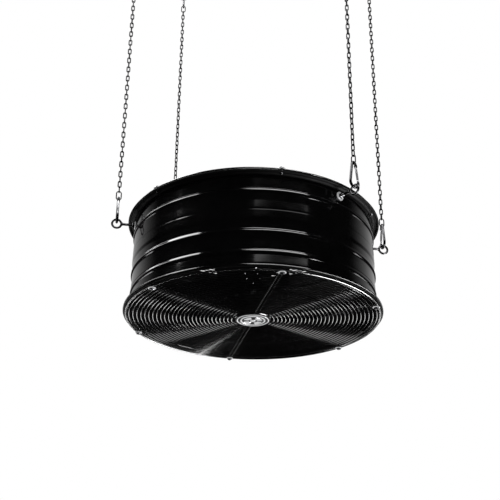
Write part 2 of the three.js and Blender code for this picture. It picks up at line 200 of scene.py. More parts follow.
def metal(name, lo, hi, r0, r1, scale=60, grain=900, bump=0.04):
    m = Mat(name)
    m.link(m.ramp(m.noise(scale, 4, 0.6), [(0.3, lo), (0.7, hi)]), "Base Color")
    m.link(m.span(m.noise(grain, 3), r0, r1), "Roughness")
    m.bump(m.noise(grain * 1.7, 2), bump, 0.0002)
    m.set(Metallic=1.0)
    return m.m


BLACK = gloss_paint("black_paint", (0.0007, 0.0007, 0.0008), (0.0013, 0.0013, 0.0014), 0.07, 0.12, peel=0.05)
RIM = gloss_paint("guard_rim", (0.001, 0.001, 0.0011), (0.002, 0.002, 0.0021), 0.12, 0.18, coat=1.0)
RIM.node_tree.nodes["Principled BSDF"].inputs["IOR"].default_value = 2.1
WIRE = gloss_paint("guard_wire", (0.0008, 0.0008, 0.0009), (0.0016, 0.0016, 0.0017), 0.10, 0.16, peel=0.02)
WIRE.node_tree.nodes["Principled BSDF"].inputs["IOR"].default_value = 1.8
INSIDE = gloss_paint("black_paint_inside", (0.0009, 0.0009, 0.001), (0.0018, 0.0018, 0.0019), 0.5, 0.62, peel=0.1)
INSIDE.node_tree.nodes["Principled BSDF"].inputs["Specular IOR Level"].default_value = 0.05
ENAMEL = gloss_paint("motor_enamel", (0.0012, 0.0012, 0.0012), (0.0026, 0.0026, 0.0027), 0.34, 0.46, peel=0.08)
# near-white, mostly diffuse zinc: bright plating with a painted highlight, for washers and small screws
ZINC_AND_PAINTED_HIGHLIGHT = metal("zinc_plate", (0.70, 0.71, 0.72), (0.92, 0.92, 0.93), 0.2, 0.32)
ZINC_AND_PAINTED_HIGHLIGHT.node_tree.nodes["Principled BSDF"].inputs["Metallic"].default_value = 0.25
ZINC_PLATE = metal("zinc_sheet", (0.34, 0.345, 0.355), (0.5, 0.505, 0.515), 0.28, 0.42, scale=24)
ZINC_PLATE.node_tree.nodes["Principled BSDF"].inputs["Metallic"].default_value = 0.5
# darkened zinc, painted shade and dark reflection: screw heads, nuts, top links, and the bolts and rivets inside the
# drum
ZINC_PAINTED_SHADE = metal("zinc_painted_shade", (0.05, 0.05, 0.053), (0.18, 0.18, 0.185), 0.16, 0.3)
# eye bolt zinc darkened, a painted dark reflection
ZINC_EYE_PAINTED_SHADE = metal("zinc_eye_painted_shade", (0.016, 0.016, 0.017), (0.11, 0.11, 0.113), 0.12, 0.26)
# hook zinc darker still, a painted dark reflection
ZINC_HOOK_PAINTED_SHADE = metal("zinc_hook_painted_shade", (0.008, 0.008, 0.0085), (0.08, 0.08, 0.083), 0.12, 0.24)
# chain zinc near black, a painted dark reflection
ZINC_CHAIN_PAINTED_SHADE = metal("zinc_chain_painted_shade", (0.004, 0.004, 0.0045), (0.022, 0.022, 0.023), 0.16, 0.3)
# gate zinc lighter than the hook body, a painted highlight
ZINC_GATE_PAINTED_HIGHLIGHT = metal("gate_steel", (0.26, 0.26, 0.27), (0.46, 0.46, 0.47), 0.3, 0.44)
ZINC_GATE_PAINTED_HIGHLIGHT.node_tree.nodes["Principled BSDF"].inputs["Metallic"].default_value = 0.7
STEEL = metal("bearing_steel", (0.5, 0.51, 0.52), (0.68, 0.68, 0.69), 0.2, 0.3)
SILVER = metal("badge_silver", (0.86, 0.87, 0.88), (0.94, 0.94, 0.95), 0.2, 0.3, scale=30)
SILVER.node_tree.nodes["Principled BSDF"].inputs["Metallic"].default_value = 0.1


def blade_paint():
    m = Mat("blade_metal", (1, 1, 1))
    m.link(m.ramp(m.noise(14, 4), [(0.3, (0.0022, 0.0022, 0.0023)), (0.7, (0.005, 0.005, 0.0053))]), "Base Color")
    m.link(m.span(m.noise(70, 4), 0.5, 0.64), "Roughness")
    m.bump(m.noise(380, 2), 0.05, 0.0004)
    m.set(Metallic=0.0, IOR=1.5, Specular_IOR_Level=0.0)
    return m.m


def moulded_plastic():
    m = Mat("black_plastic")
    m.link(m.ramp(m.noise(30, 3), [(0.3, (0.003, 0.003, 0.003)), (0.7, (0.006, 0.006, 0.006))]), "Base Color")
    m.link(m.span(m.noise(160, 4), 0.42, 0.6), "Roughness")
    m.bump(m.noise(1400, 2), 0.12, 0.0003)
    return m.m


def winding():
    m = Mat("winding_core", (1, 1, 9))
    m.link(m.ramp(m.noise(90, 3), [(0.3, (0.10, 0.05, 0.025)), (0.7, (0.32, 0.17, 0.09))]), "Base Color")
    m.link(m.span(m.noise(240, 3), 0.3, 0.5), "Roughness")
    m.bump(m.noise(700, 2), 0.2, 0.0005)
    m.set(Metallic=0.6)
    return m.m


BLADE, PLASTIC, WINDING = blade_paint(), moulded_plastic(), winding()
SEAM_BLACK = gloss_paint("badge_black", (0.001, 0.001, 0.0012), (0.002, 0.002, 0.0022), 0.3, 0.4)


# ---------------------------------------------------------------- mesh helpers (points in mm, row frame)
def lathe(profile, segments, closed=True, start=0.0, sweep=360.0):
    """Turns [r, z] points about Z. closed joins the last point to the first."""
    full = sweep >= 359.999
    steps = segments if full else segments + 1
    verts, faces, rows = [], [], []
    for i in range(steps):
        a = rad(start + sweep * i / segments)
        c, s = math.cos(a), math.sin(a)
        row = []
        for r, z in profile:
            if r < 1e-6 and i and full:
                row.append(rows[0][len(row)])
                continue
            row.append(len(verts))
            verts.append((r * c, r * s, z))
        rows.append(row)
    n = len(profile)
    for i in range(segments):
        a, b = rows[i], rows[(i + 1) % steps]
        for j in range(n if closed else n - 1):
            k = (j + 1) % n
            f = [a[j], b[j], b[k], a[k]]
            f = [v for q, v in enumerate(f) if v not in f[:q]]
            if len(f) > 2:
                faces.append(f)
    if not full:
        faces.append(list(reversed(rows[0])))
        faces.append(list(rows[-1]))
    return verts, faces


def tube(path, r, sides=10, closed=False, radii=None, normal=None):
    """A round bar along a path of points, with flat ends unless it is closed."""
    pts = [Vector(p) for p in path]
    n = len(pts)
    tan = []
    for i in range(n):
        if closed:
            t = pts[(i + 1) % n] - pts[i - 1]
        else:
            t = pts[min(i + 1, n - 1)] - pts[max(i - 1, 0)]
        tan.append(t.normalized())
    up = Vector(normal) if normal else None
    if up is None:
        up = Vector((0, 0, 1)) if abs(tan[0].z) < 0.9 else Vector((1, 0, 0))
    verts, faces = [], []
    for i in range(n):
        up = (up - tan[i] * up.dot(tan[i])).normalized()
        side = tan[i].cross(up)
        q = radii[i] if radii else r
        for k in range(sides):
            a = 2 * math.pi * k / sides
            verts.append(tuple(pts[i] + (up * math.cos(a) + side * math.sin(a)) * q))
    for i in range(n if closed else n - 1):
        j = (i + 1) % n
        for k in range(sides):
            l = (k + 1) % sides
            faces.append([i * sides + k, i * sides + l, j * sides + l, j * sides + k])
    if not closed:
        faces.append(list(range(sides)))
        faces.append([(n - 1) * sides + k for k in reversed(range(sides))])
    return verts, faces


def prism(outline, z0, z1, chamfer=0.0, chamfer_low=0.0):
    """Upright prism on a convex outline, with chamfered edges."""
    n = len(outline)

    def ring(z, inset):
        c = Vector((sum(p[0] for p in outline) / n, sum(p[1] for p in outline) / n))
        out = []
        for p in outline:
            d = Vector(p) - c
            out.append((*(c + d * (1 - inset / max(d.length, 1e-6))), z))
        return out
    rows = []
    if chamfer_low:
        rows.append(ring(z0, chamfer_low))
        rows.append(ring(z0 + chamfer_low, 0))
    else:
        rows.append(ring(z0, 0))
    if chamfer:
        rows.append(ring(z1 - chamfer, 0))
        rows.append(ring(z1, chamfer))
    else:
        rows.append(ring(z1, 0))
    verts = [v for row in rows for v in row]
    faces = [list(reversed(range(n))), [(len(rows) - 1) * n + k for k in range(n)]]
    for i in range(len(rows) - 1):
        for k in range(n):
            l = (k + 1) % n
            faces.append([i * n + k, i * n + l, (i + 1) * n + l, (i + 1) * n + k])
    return verts, faces


def slab(x0, x1, y0, y1, z0, z1, bevel=1.0, radius=0.0):
    """Box with eased edges; radius rounds its upright corners."""
    q = max(radius, bevel)
    out = []
    for cx, cy, a0 in ((x1 - q, y1 - q, 0), (x0 + q, y1 - q, 90), (x0 + q, y0 + q, 180), (x1 - q, y0 + q, 270)):
        steps = 5 if radius else 2
        for i in range(steps + 1):
            a = rad(a0 + 90 * i / steps)
            out.append((cx + q * math.cos(a), cy + q * math.sin(a)))
    b = min(bevel, (z1 - z0) / 2.2)
    return prism(out, z0, z1, b, b)


def hexagon(af, turn=0.0):
    r = af / math.sqrt(3)
    return [(r * math.cos(rad(60 * k + turn)), r * math.sin(rad(60 * k + turn))) for k in range(6)]


def moved(part, m):
    return [tuple(m @ Vector(v)) for v in part[0]], part[1]


def shift(x, y, z):
    return Matrix.Translation((x, y, z))


def turn(d, axis="Z"):
    return Matrix.Rotation(rad(d), 4, axis)


def make(name, parts, mats, body, replaces=(), sharp=38, smooth=True):
    """Joins parts, (verts, faces) or (verts, faces, material index or one for each face), into one piece."""
    verts, faces, which = [], [], []
    for part in parts:
        base = len(verts)
        verts += part[0]
        mat = part[2] if len(part) > 2 else 0
        for k, f in enumerate(part[1]):
            faces.append([base + i for i in f])
            which.append(mat[k] if isinstance(mat, list) else mat)
    me = bpy.data.meshes.new(name)
    me.from_pydata([(x * 0.001, y * 0.001, z * 0.001) for x, y, z in verts], [], faces)
    for m in (mats if isinstance(mats, (list, tuple)) else [mats]):
        me.materials.append(m)
    me.polygons.foreach_set("material_index", which)
    bm = bmesh.new()
    bm.from_mesh(me)
    bmesh.ops.recalc_face_normals(bm, faces=bm.faces)
    limit = rad(sharp)
    for f in bm.faces:
        f.smooth = smooth
    for e in bm.edges:
        if len(e.link_faces) == 2:
            e.smooth = e.calc_face_angle(0) < limit
    bm.to_mesh(me)
    bm.free()
    ob = bpy.data.objects.new(name, me)
    collection.objects.link(ob)
    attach(ob, body)
    if replaces:
        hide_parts(*([replaces] if isinstance(replaces, str) else replaces))
    return ob


DRUM = shift(0, 0, -DROP)       # drum heights to the row frame


# ---------------------------------------------------------------- drum wall: one rolled sheet
BEADS = (45, 100, 211)


def bump01(x, half):
    return 0.5 + 0.5 * math.cos(math.pi * x / half) if abs(x) < half else 0.0


def ramp01(x, a, b):
    """0 at a, 1 at b, straight in between with soft ends."""
    k = min(1.0, max(0.0, (x - a) / (b - a)))
    e = 0.12
    if k < e:
        return k * k / (2 * e) / (1 - e)
    if k > 1 - e:
        return 1 - (1 - k) ** 2 / (2 * e) / (1 - e)
    return (k - e / 2) / (1 - e)


def wall_radius(h):
    """Outside radius of the sheet at a height."""
    r = WALL_R
    for b in (45, 211):                                     # rolled beads with a rounded crest and a sharp foot
        x = abs(h - b) / 7.0
        r += 2.7 * (1 - x * x) if x < 1 else 0.0
    r += 3.0 * bump01(h - 100, 8.5)                         # this one is rolled softer
    r += 0.8 * ramp01(h, 187, 163) + 0.6 * ramp01(h, 157, 137) - 1.4 * ramp01(h, 136, 124)
    r -= 0.27 * bump01(h - 160, 3.2)                        # fine groove in the wide swage
    r += 0.9 * ramp01(h, 80, 55) - 0.9 * ramp01(h, 54, 50)
    r += 2.6 * ramp01(h, 41, 13)                            # the sheet opens towards the lower flange
    return r


def sheet_path():
    """Middle line of the sheet, from the curl of the lower flange up to the curl of the upper one."""
    t = SHEET / 2
    low = [(FLANGE_R - 4.3, 3.6)]
    for i in range(9):                                      # rolled edge: flat below, its outer face easing inwards
        a = rad(165 - 148 * i / 8)
        low.append((FLANGE_R - 2.75 + 0.95 * math.cos(a), 4.35 + 0.95 * math.sin(a)))
    low += [(FLANGE_R - 1.62, 3.8), (FLANGE_R - 1.46, 2.95), (FLANGE_R - 1.35, 2.1)]
    for i in range(5):
        a = rad(-90 * i / 4)
        low.append((FLANGE_R - 2.05 + 0.7 * math.cos(a), t + 0.7 + 0.7 * math.sin(a)))
    low.append((FLANGE_R - 7.0, t))
    fillet = 9.0
    r0 = wall_radius(t + fillet) - t
    for i in range(9):
        a = rad(-90 - 90 * i / 8)
        low.append((r0 + fillet + fillet * math.cos(a), t + fillet + fillet * math.sin(a)))
    h, wall = t + fillet + 1.2, []
    while h < DRUM_H - t - 8.5:
        wall.append((wall_radius(h) - t, h))
        h += 0.7 if min(abs(h - b) for b in (45, 100, 160, 211)) < 9 else 1.8
    fil = 8.0
    top = []
    for i in range(9):
        a = rad(180 - 90 * i / 8)
        top.append((WALL_R - t + fil + fil * math.cos(a), DRUM_H - t - fil + fil * math.sin(a)))
    top.append((FLANGE_R - 7.0, DRUM_H - t))
    for i in range(15):
        a = rad(90 - (205 + 90) * i / 14)
        top.append((FLANGE_R - 3.0 + 2.3 * math.cos(a), DRUM_H - 3.0 + 2.3 * math.sin(a)))
    return low + wall + top


def offset(path, d):
    out = []
    for i, p in enumerate(path):
        a, b = path[max(i - 1, 0)], path[min(i + 1, len(path) - 1)]
        t = Vector((b[0] - a[0], b[1] - a[1])).normalized()
        out.append((p[0] + t.y * d, p[1] - t.x * d))
    return out


def drum_wall():
    mid = sheet_path()
    strip = offset(mid, SHEET / 2) + list(reversed(offset(mid, -SHEET / 2)))
    verts, faces = lathe(strip, 288)
    wavy = []
    for x, y, z in verts:                                   # rolled sheet is never quite true
        r = math.hypot(x, y)
        k = 0.0
        if r < 340 and 12 < z < 250:
            edge = min(1.0, (z - 12) / 20, (250 - z) / 20)
            k = edge * (0.16 * noise.noise(Vector((x * 0.012, y * 0.012, z * 0.02)))
                        + 0.03 * noise.noise(Vector((x * 0.05, y * 0.05, z * 0.06))))
        wavy.append((x * (1 + k / r), y * (1 + k / r), z))
    n = len(mid)
    matt = [2 * n > j > n and 9 < strip[j][1] < DRUM_H - 9 and strip[j][0] < 336
            or strip[j][1] > DRUM_H - 8 or strip[j][1] < 5 and strip[j][0] < FLANGE_R - 2 for j in range(2 * n)]
    parts = [(*moved((wavy, faces), DRUM), [int(matt[k % (2 * n)]) for k in range(len(faces))])]
    # lap seam at the back, spot welded
    seam = [p for p in offset(mid, SHEET / 2 + 0.55) if 14 < p[1] < DRUM_H - 12 and p[0] < 336]
    seam += [(p[0] - 1.2, p[1]) for p in reversed(seam)]
    parts.append(moved(lathe(seam, 6, start=88.2, sweep=3.4), DRUM))
    for k in range(9):
        h = 22 + 27 * k
        dome = lathe([(0, 0.75), (1.4, 0.65), (2.4, 0.3), (2.8, -0.4), (0, -0.4)], 12, closed=False)
        parts.append(moved(dome, DRUM @ turn(89.9) @ shift(wall_radius(h) + 0.65, 0, h) @ turn(90, "Y")))
    # nuts welded inside for the eye bolts
    for d in EYE_DEG:
        nut = prism(hexagon(13), -3.4, 3.4, 0.7, 0.7)
        parts.append(moved(nut, DRUM @ turn(d) @ shift(WALL_R - SHEET - 3.3, 0, EYE_H) @ turn(90, "Y")))
    return make("drum_wall", parts, [BLACK, INSIDE], "drum", "drum_shell", sharp=50)


drum_wall()


# ---------------------------------------------------------------- guards
RINGS = [331.7 - 10.55 * k for k in range(27)]


def circle(r, z, n):
    return [(r * math.cos(2 * math.pi * k / n), r * math.sin(2 * math.pi * k / n), z) for k in range(n)]


def guard(name, face, way, node):
    parts = []
    z = face + way * 6.4
    parts.append((*tube(circle(341, z, 240), 2.1, 12, closed=True), 1))
    for r in RINGS:
        n = 200 if r > 220 else 144 if r > 110 else 96
        parts.append(tube(circle(r, z, n), 1.5, 8, closed=True))
    zs = face + way * 2.95
    for d in SCREW_DEG:                       # each stay is one wire bent round its screw
        path = [(44, -5.0, zs + way * 0.8)]
        path += [(60, -4.9, zs), (200, -4.7, zs), (324, -4.7, zs), (331, -4.9, zs)]
        for i in range(13):
            a = rad(-105 + 210 * i / 12)
            path.append((SCREW_R + 5.1 * math.cos(a), 5.1 * math.sin(a), zs))
        path += [(331, 4.9, zs), (324, 4.7, zs), (200, 4.7, zs), (60, 4.9, zs), (44, 5.0, zs + way * 0.8)]
        parts.append((*moved(tube(path, 1.9, 8, normal=(0, 0, 1)), turn(d)), 1))
    # pressed hub that carries the badge
    hub = [(0, 4.7), (30, 4.7), (41, 4.9), (46, 5.2), (49.2, 5.4), (50, 6.2), (49.2, 7.3), (44, 7.6), (0, 7.6)]
    parts.append(lathe([(r, face + way * q) for r, q in hub], 64, closed=False))
    parts = [(*moved(p[:2], DRUM), p[2] if len(p) > 2 else 0) for p in parts]
    return make(name, parts, [WIRE, RIM], "drum", node)


guard("lower_guard_wire", 0, -1, "lower_guard")
guard("upper_guard_wire", DRUM_H, 1, "upper_guard")


# ---------------------------------------------------------------- badge: discs, rings and curved bars
def badge():
    parts = []

    def turned(profile, seg, mat):
        v, f = lathe([(r, -z) for r, z in profile], seg, closed=False)
        parts.append((*moved((v, f), DRUM), mat))
    # bright outer rim, black dish, silver disc rim
    v, f = lathe([(r, -z) for r, z in [(40.6, 7.9), (43.2, 7.9), (43.4, 8.6), (43.0, 9.7), (42.0, 10.3), (41.0, 9.9), (40.6, 9.0)]], 96)
    parts.append((*moved((v, f), DRUM), 0))
    turned([(0, 7.9), (46, 7.9), (46, 8.3), (44.6, 8.7), (40, 8.8), (34, 8.9), (0, 8.9)], 96, 1)
    v, f = lathe([(r, -z) for r, z in [(29.4, 8.92), (33.6, 8.92), (33.6, 10.0), (32.2, 10.8), (30.4, 10.6), (29.4, 9.6)]], 96)
    parts.append((*moved((v, f), DRUM), 0))
    turned([(0, 8.95), (29.3, 8.95), (29.3, 9.7), (0, 10.1)], 72, 1)
    # raised pattern: a dome with four curved bars around it
    turned([(0, 10.12), (7.2, 10.12), (6.6, 10.9), (4, 11.3), (0, 11.4)], 40, 0)
    for k in range(4):
        a0 = 20 + 90 * k
        arc = [(12.4, -10.13), (25.6, -10.13), (25.0, -11.0), (22.0, -11.25), (15.6, -11.25), (13.0, -11.0)]
        v, f = lathe(arc, 14, start=a0, sweep=58)
        parts.append((*moved((v, f), DRUM), 0))
    return make("badge", parts, [SILVER, SEAM_BLACK], "drum", "centre_badge")


badge()


# ---------------------------------------------------------------- guard screws
def guard_screw(name, degrees, face, way, node):
    def flip(part):
        return (part[0], part[1]) if way > 0 else moved(part, Matrix.Diagonal((1, 1, -1, 1)))
    washer = lathe([(2.6, 8.8), (9.4, 8.8), (9.9, 9.1), (9.7, 9.7), (8.2, 10.2), (6.9, 10.4), (2.6, 10.4)], 36)
    spring = lathe([(3, 10.32), (6.9, 10.32), (6.9, 11.5), (3, 11.5)], 30, start=8, sweep=348)
    head = prism(hexagon(10, 13), 11.55, 14.0, 0.5)
    cup = lathe([(0, 13.95), (3.6, 13.95), (4.1, 14.1), (0, 14.15)], 20, closed=False)
    thread = [(0, 10.0)]
    for k in range(17):
        z = 8.6 - k * 0.92
        thread += [(2.4, z), (2.05, z - 0.46)]
    thread += [(2.0, -7), (0, -7)]
    shank = lathe(thread, 14, closed=False)
    at = DRUM @ turn(degrees) @ shift(SCREW_R, 0, face)
    # the washer is near-white zinc, a painted highlight; spring washer, head, cup and shank are dark zinc, painted
    # shade
    parts = [(*moved(flip(p), at), m) for p, m in ((washer, 0), (spring, 1), (head, 1), (cup, 1), (shank, 1))]
    make(name, parts, [ZINC_AND_PAINTED_HIGHLIGHT, ZINC_PAINTED_SHADE], "drum", node)


for i, d in enumerate(SCREW_DEG):
    guard_screw(f"lower_screw_{i + 1}", d, 0, -1, f"lower_guard_screw_{i + 1}")
    guard_screw(f"upper_screw_{i + 1}", d, DRUM_H, 1, f"upper_guard_screw_{i + 1}")


# ---------------------------------------------------------------- eye bolts and flange nuts
def eye_bolt(k, d):
    n = 56
    ring = tube([(EYE_RING * math.cos(2 * math.pi * i / n), 0, EYE_RING * math.sin(2 * math.pi * i / n)) for i in range(n)],
                EYE_WIRE, 14, closed=True, normal=(0, 1, 0))
    r0, r1 = 320.5 - EYE_R, 369.8 - EYE_R
    prof = [(0, r0), (3.2, r0), (3.8, r0 + 0.8)]
    x = r0 + 0.8
    while x < 347 - EYE_R:                    # threaded up to just outside the nut
        prof += [(3.95, x + 0.3), (3.45, x + 0.85)]
        x += 1.25
    prof += [(3.55, x + 0.8), (3.55, r1 - 2.5), (3.2, r1), (0, r1)]
    shank = moved(lathe(prof, 20, closed=False), turn(90, "Y"))
    weld = lathe([(0, -1.0), (4.6, -1.0), (5.0, 0), (4.2, 1.4), (0, 2.2)], 20, closed=False)
    weld = moved(weld, shift(-EYE_RING - EYE_WIRE + 0.6, 0, 0) @ turn(90, "Y"))
    at = DRUM @ turn(d) @ shift(EYE_R, 0, EYE_H)
    # the eye's darkened zinc is a painted dark reflection
    make(f"eye_{k}", [moved(p, at) for p in (ring, shank, weld)], ZINC_EYE_PAINTED_SHADE, "drum", f"eye_bolt_{k}")
    # cupped washer and nut against the wall; the washer's near-white zinc is a painted highlight, the nut's dark zinc
    # painted shade
    washer = lathe([(4.3, 0.9), (8, 0.7), (11.6, 0.0), (12.0, 0.5), (11.8, 1.2), (8.4, 2.1), (4.3, 2.3)], 48)
    nut = prism(hexagon(13.5, 11), 2.35, 8.2, 0.9, 0.3)
    bore = lathe([(3.95, 2.4), (4.9, 2.4), (4.9, 8.25), (3.95, 8.6)], 24)
    at = DRUM @ turn(d) @ shift(WALL_R + GAP, 0, EYE_H) @ turn(90, "Y")
    parts = [(*moved(p, at), m) for p, m in ((washer, 0), (nut, 1), (bore, 1))]
    make(f"eye_nut_{k}", parts, [ZINC_AND_PAINTED_HIGHLIGHT, ZINC_PAINTED_SHADE], "drum", f"eye_bolt_nut_{k}")


# ---------------------------------------------------------------- snap hooks
def pear():
    c0, c1 = HOOK_LOW + HOOK_BIG, HOOK_TOP - HOOK_SMALL
    lean = math.asin((HOOK_BIG - HOOK_SMALL) / (c1 - c0))
    return c0, c1, lean


C0, C1, LEAN = pear()


def pear_side(R, c, s):
    return (s * R * math.cos(LEAN), c + R * math.sin(LEAN))


GATE_LO, GATE_HI = pear_side(HOOK_BIG, C0, 1), pear_side(HOOK_SMALL, C1, 1)


def along(k):
    return (GATE_LO[0] + (GATE_HI[0] - GATE_LO[0]) * k, GATE_LO[1] + (GATE_HI[1] - GATE_LO[1]) * k)


NOSE, PIVOT = along(0.06), along(0.88)


def arc2(cx, cz, r, a0, a1, n):
    return [(cx + r * math.cos(rad(a0 + (a1 - a0) * i / n)), cz + r * math.sin(rad(a0 + (a1 - a0) * i / n))) for i in range(n + 1)]


def snap_hook(k, d):
    ln = math.degrees(LEAN)
    up = (GAP + 0.15 + 3.4) / math.hypot(GATE_HI[0] - GATE_LO[0], GATE_HI[1] - GATE_LO[1])
    a = along(0.88 + up)
    path = [a, tuple((p + q) / 2 for p, q in zip(a, GATE_HI))]
    path += arc2(0, C1, HOOK_SMALL, ln, 180 - ln, 16)
    path += arc2(0, C0, HOOK_BIG, 180 - ln, 360 + ln, 34)
    path += [tuple((p + q) / 2 for p, q in zip(GATE_LO, NOSE)), NOSE]
    pts = [(x, 0, z) for x, z in path]
    n = len(pts)
    radii = [HOOK_WIRE] * n
    radii[-1], radii[-2] = HOOK_WIRE * 0.82, HOOK_WIRE * 0.98
    radii[0] = HOOK_WIRE * 0.86
    body = tube(pts, HOOK_WIRE, 18, radii=radii, normal=(0, 1, 0))
    frame_at = DRUM @ turn(d) @ shift(EYE_R, 0, 0) @ turn(90)
    # cheeks that hold the gate's pin, and the pin
    lean_deg = math.degrees(math.atan2(PIVOT[0] - NOSE[0], PIVOT[1] - NOSE[1]))
    pin = lathe([(0, -3.75), (1.5, -3.75), (1.5, -3.45), (1.0, -3.4), (1.0, 3.4), (1.5, 3.45), (1.5, 3.75), (0, 3.75)], 16, closed=False)
    pin = moved(pin, shift(PIVOT[0], 0, PIVOT[1]) @ turn(90, "X"))
    parts = [body, pin]
    for s in (-1, 1):
        cheek = slab(-2.6, 2.6, -5.2, 2.6, -0.45, 0.45, 0.2, 1.6)
        cheek = moved(cheek, shift(PIVOT[0], s * 3.1, PIVOT[1]) @ turn(lean_deg, "Y") @ turn(-90, "X"))
        parts.append(cheek)
    # the hook's near-black zinc is a painted dark reflection
    make(f"hook_{k}", [moved(p, frame_at) for p in parts], ZINC_HOOK_PAINTED_SHADE, f"snap_hook_{k}", f"snap_hook_{k}")
    # gate: a sleeve with a waist at the nose and a rounded heel on the pin
    L = math.hypot(PIVOT[0] - NOSE[0], PIVOT[1] - NOSE[1]) - GAP - 0.2
    g = [(0, -L), (2.5, -L), (2.95, -L + 0.5), (2.95, -L + 3.2), (2.55, -L + 4.0), (2.55, -L + 5.0), (2.95, -L + 5.8),
         (2.95, -3.5), (2.6, -2.2), (2.55, 0), (2.2, 1.7), (1.2, 2.6), (0, 2.9)]
    g = lathe(g, 20, closed=False)
    g = moved(g, shift(PIVOT[0], 0, PIVOT[1]) @ turn(lean_deg, "Y"))
    # the gate's lighter zinc is a painted highlight
    make(f"gate_{k}", [moved(g, frame_at)], ZINC_GATE_PAINTED_HIGHLIGHT, f"snap_gate_{k}", f"snap_hook_gate_{k}")


# ---------------------------------------------------------------- chains with real links
def oval_path(r, span, n):
    """Closed loop in the XZ plane, its middle at the origin."""
    h = span / 2 - r
    pts = []
    for i in range(n + 1):
        a = rad(180 * i / n)
        pts.append((r * math.cos(a), 0, h + r * math.sin(a)))
    for i in range(n + 1):
        a = rad(180 + 180 * i / n)
        pts.append((r * math.cos(a), 0, -h + r * math.sin(a)))
    return pts


def weld_link(r, span, wire, n, sides):
    """A link with a slight swelling where its wire is butt welded, on one long side."""
    pts = oval_path(r, span, n)
    h = span / 2 - r
    i = n                                                 # end of the upper bend, then down the left side
    extra = [(-r, 0, h * q) for q in (0.5, 0.16, 0.0, -0.16, -0.5)] if h > 1 else []
    radii = [wire] * len(pts)
    path = pts[:i + 1] + extra + pts[i + 1:]
    rr = radii[:i + 1] + ([wire, wire * 1.02, wire * 1.12, wire * 1.02, wire] if extra else []) + radii[i + 1:]
    return tube(path, wire, sides, closed=True, radii=rr, normal=(0, 1, 0))


def chain(k, d):
    x, y = EYE_R * math.cos(rad(d)), EYE_R * math.sin(rad(d))
    twist = (d + 90) % 180 - 90                            # end link across the snap hook, the same plane twice a turn
    parts = []
    end = weld_link(END_R, END_SPAN, END_WIRE, 10, 9)
    parts.append(moved(end, shift(x, y, CHAIN_TOP - END_SPAN / 2)))
    parts.append(moved(end, shift(x, y, CHAIN_LOW + END_SPAN / 2) @ turn(d)))
    n, wire, r = 57, 1.65, 4.1
    top = CHAIN_TOP - END_SPAN + END_WIRE + wire
    low = CHAIN_LOW + END_SPAN - END_WIRE - wire
    pitch = (top - low - 2 * wire) / n
    span = pitch + 2 * wire - 0.06
    link = weld_link(r, span, wire, 8, 8)
    for i in range(n):
        z = top - 0.03 - span / 2 - pitch * i
        a = 90 * ((i + 1) % 2) + twist * (i + 1) / (n + 1) + 5 * math.sin(i * 2.399 + k)
        parts.append(moved(link, shift(x, y, z) @ turn(a)))
    # the links' near-black zinc is a painted dark reflection
    make(f"chain_links_{k}", parts, ZINC_CHAIN_PAINTED_SHADE, f"chain_{k}", f"chain_{k}")


def ceiling(k, d):
    x, y = EYE_R * math.cos(rad(d)), EYE_R * math.sin(rad(d))
    link = weld_link(LINK_R, LINK_SPAN, LINK_WIRE, 14, 14)
    # the top link is dark zinc, painted shade
    make(f"top_link_{k}", [moved(link, shift(x, y, LINK_TOP - LINK_SPAN / 2) @ turn(90))], ZINC_PAINTED_SHADE, f"link_{k}",
         f"ceiling_link_{k}")
    # plate with rounded corners and two screw holes, hook welded under it
    n = 72
    rings = []
    for i in range(n):
        a = 2 * math.pi * i / n
        c, s = math.cos(a), math.sin(a)
        p = 7.0                                            # superellipse
        q = 1 / (abs(c) ** p + abs(s) ** p) ** (1 / p)
        rings.append((c * q, s * q))
    parts = []
    curve = bpy.data.curves.new("plate_outline", "CURVE")
    curve.dimensions, curve.fill_mode = "2D", "BOTH"
    curve.extrude, curve.bevel_depth, curve.bevel_resolution = 0.0014, 0.0006, 2

    def loop(points):
        sp = curve.splines.new("POLY")
        sp.points.add(len(points) - 1)
        for q, (u, v) in zip(sp.points, points):
            q.co = (u * 0.001, v * 0.001, 0, 1)
        sp.use_cyclic_u = True
    loop([(u * 29.4, v * 29.4) for u, v in rings])
    for s in (-21, 21):
        loop([(3.6 * math.cos(2 * math.pi * i / 28), s + 3.6 * math.sin(2 * math.pi * i / 28)) for i in range(28)])
    tmp = bpy.data.objects.new("plate_outline", curve)
    collection.objects.link(tmp)
    me = bpy.data.meshes.new_from_object(tmp.evaluated_get(bpy.context.evaluated_depsgraph_get()))
    bm = bmesh.new()
    bm.from_mesh(me)
    bmesh.ops.remove_doubles(bm, verts=bm.verts, dist=1e-6)
    bm.to_mesh(me)
    bm.free()
    plate = [tuple(v.co * 1000) for v in me.vertices], [list(p.vertices) for p in me.polygons]
    bpy.data.objects.remove(tmp)
    bpy.data.meshes.remove(me)
    bpy.data.curves.remove(curve)
    parts.append(moved(plate, shift(x, y, -2)))
    path = [(0, 0, -3.2), (0, 0, -8)] + [(u, 0, v) for u, v in arc2(0, CEIL_Z, CEIL_R, 90, 390, 44)]
    radii = [CEIL_WIRE] * len(path)
    radii[-1], radii[-2] = 2.4, 3.2
    parts.append(moved(tube(path, CEIL_WIRE, 16, radii=radii, normal=(0, 1, 0)), shift(x, y, 0)))
    parts.append(moved(lathe([(0, -3.6), (6.2, -3.8), (5.2, -5.2), (3.6, -6.6), (0, -7)], 28, closed=False), shift(x, y, 0)))
    make(f"ceiling_plate_{k}", parts, ZINC_PLATE, "ceiling", f"ceiling_hook_{k}")


for i, d in enumerate(EYE_DEG):
    eye_bolt(i + 1, d)
    snap_hook(i + 1, d)
    chain(i + 1, d)
    ceiling(i + 1, d)


